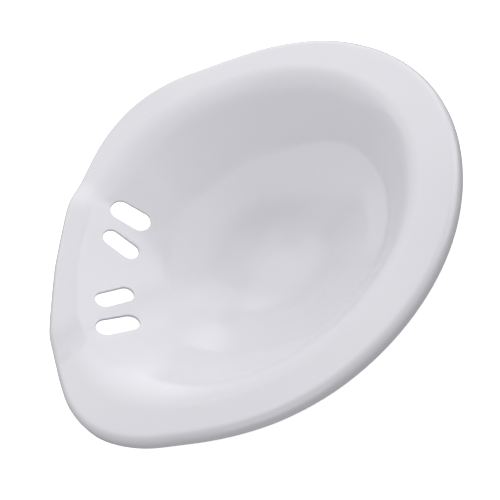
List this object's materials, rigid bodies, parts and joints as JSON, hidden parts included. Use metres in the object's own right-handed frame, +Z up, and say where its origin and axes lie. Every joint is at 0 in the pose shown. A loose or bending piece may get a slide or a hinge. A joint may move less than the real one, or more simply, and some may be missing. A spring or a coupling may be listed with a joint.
{
  "type": "over-toilet basin",
  "caption": "Shallow moulded sitz basin with a wide flange that rests on a toilet rim, a rolled edge, vent slots and a raised back lip.",
  "frame": {"origin": "middle of the bounding box, on the flat foot", "axes": "+Z up, +Y towards the slotted back with the raised lip, +X to the right seen from the front"},
  "size_m": [0.364, 0.3334, 0.079],
  "materials": {
    "shell": "gloss, white with a faint cool tint"
  },
  "bodies": {
    "root": {"dish": "shell", "bowl_wall": "shell", "vent_panel": "shell", "flange": "shell", "rolled_edge": "shell", "back_lip": "shell"}
  },
  "joints": []
}
